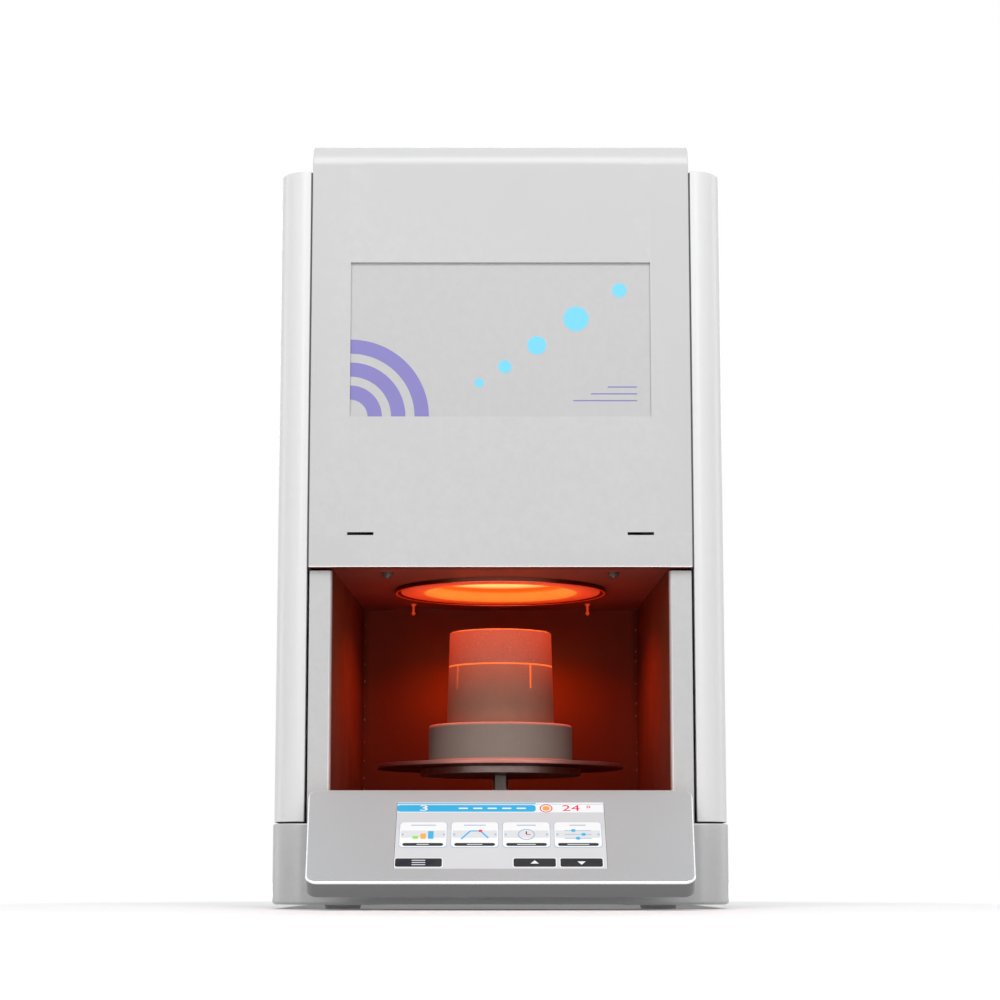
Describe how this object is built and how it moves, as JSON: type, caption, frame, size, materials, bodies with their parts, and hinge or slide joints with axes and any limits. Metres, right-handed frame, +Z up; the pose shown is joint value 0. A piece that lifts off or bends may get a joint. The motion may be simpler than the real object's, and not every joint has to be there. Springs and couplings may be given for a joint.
{
  "type": "dental lab furnace",
  "caption": "Bench-top dental sintering furnace with a bottom-loading lift, ceramic crucible, hot chamber above a recess, and a slanted touch panel.",
  "frame": {"origin": "on the table surface, under the middle of the object's bounding box", "axes": "+Z up, -Y towards the user (control panel side), +X to the user's right"},
  "size_m": [0.42, 0.5575, 0.7215],
  "materials": {
    "white_paint": "satin white powder coat",
    "silver_paint": "satin silver paint",
    "panel_paint": "fine satin grey paint",
    "post_paint": "satin light grey paint",
    "recess_paint": "matt light grey",
    "oxide_paint": "dark red-brown heat-proof paint",
    "refractory": "pressed ceramic fibre",
    "alumina": "dry alumina ceramic",
    "stainless": "brushed stainless steel",
    "dark_steel": "dark heat-tinted steel",
    "machined": "machined aluminium",
    "bronze": "turned bronze",
    "silicide": "dull grey heating element",
    "black_plastic": "matt black plastic",
    "black_rubber": "matt black rubber",
    "circuit_green": "green circuit board",
    "copper": "enamelled copper winding",
    "dark_glass": "glossy dark touch glass"
  },
  "bodies": {
    "case": {"base_shell": "silver_paint", "base_plate": "dark_steel", "compartment_floor": "oxide_paint", "foot_front_left": "black_rubber", "foot_front_right": "black_rubber", "foot_rear_left": "black_rubber", "foot_rear_right": "black_rubber", "side_cover_left": "white_paint", "side_cover_right": "white_paint", "front_cover": "white_paint", "recess_panel": "recess_paint", "top_cover": "white_paint", "rear_cover": "white_paint", "front_post_left": "post_paint", "front_post_right": "post_paint", "compartment_wall_left": "oxide_paint", "compartment_wall_right": "oxide_paint", "compartment_back": "oxide_paint", "compartment_ceiling": "oxide_paint", "mouth_collar": "stainless", "mouth_ring": "refractory", "chamber_wall": "refractory", "chamber_roof": "refractory", "furnace_can": "stainless", "element_carrier": "alumina", "heating_element_1": "silicide", "heating_element_2": "silicide", "heating_element_3": "silicide", "heating_element_4": "silicide", "thermocouple": "alumina", "panel_shell": "panel_paint", "panel_back_cover": "panel_paint", "screen_bezel": "black_plastic", "screen_glass": "dark_glass", "controller_board": "circuit_green", "transformer": "copper", "relay_heat_sink": "machined", "lift_motor": "dark_steel", "guide_rod_left": "stainless", "guide_rod_right": "stainless", "lower_bearing_block": "machined", "upper_bearing_block": "machined", "fan_frame": "black_plastic", "fan_guard": "dark_steel", "power_inlet": "black_plastic", "switch_frame": "black_plastic"},
    "lift": {"lift_carriage": "machined", "carriage_nut": "bronze", "lift_arm": "dark_steel", "tray_hub": "machined", "tray_disc": "dark_steel", "furnace_plug": "refractory"},
    "screw": {"lead_screw": "stainless", "shaft_coupling": "machined", "motor_shaft": "stainless"},
    "crucible": {"crucible_bowl": "alumina"},
    "lid": {"crucible_lid": "alumina"},
    "fan": {"fan_rotor": "black_plastic"},
    "rocker": {"switch_rocker": "black_plastic"}
  },
  "joints": [
    {"name": "lift_slide", "type": "slide", "parent": "case", "child": "lift", "axis": [0, 0, 1], "range_m": [0, 0.1705]},
    {"name": "screw_spin", "type": "hinge", "parent": "case", "child": "screw", "pos_m": [0, 0.2384, 0.1], "axis": [0, 0, 1], "range_deg": [-7675, 0]},
    {"name": "bowl_lift_off", "type": "slide", "parent": "lift", "child": "crucible", "axis": [0, 0, 1], "range_m": [0, 0.03]},
    {"name": "lid_lift_off", "type": "slide", "parent": "crucible", "child": "lid", "axis": [0, 0, 1], "range_m": [0, 0.03]},
    {"name": "fan_spin", "type": "hinge", "parent": "case", "child": "fan", "pos_m": [0, 0.259, 0.6103], "axis": [0, 1, 0], "continuous": true},
    {"name": "switch_rock", "type": "hinge", "parent": "case", "child": "rocker", "pos_m": [0.118, 0.2728, 0.1698], "axis": [1, 0, 0], "range_deg": [0, 22]}
  ],
  "couplings": [
    {"joint": "screw_spin", "follows": "lift_slide", "rad_per_m": -785.4}
  ]
}
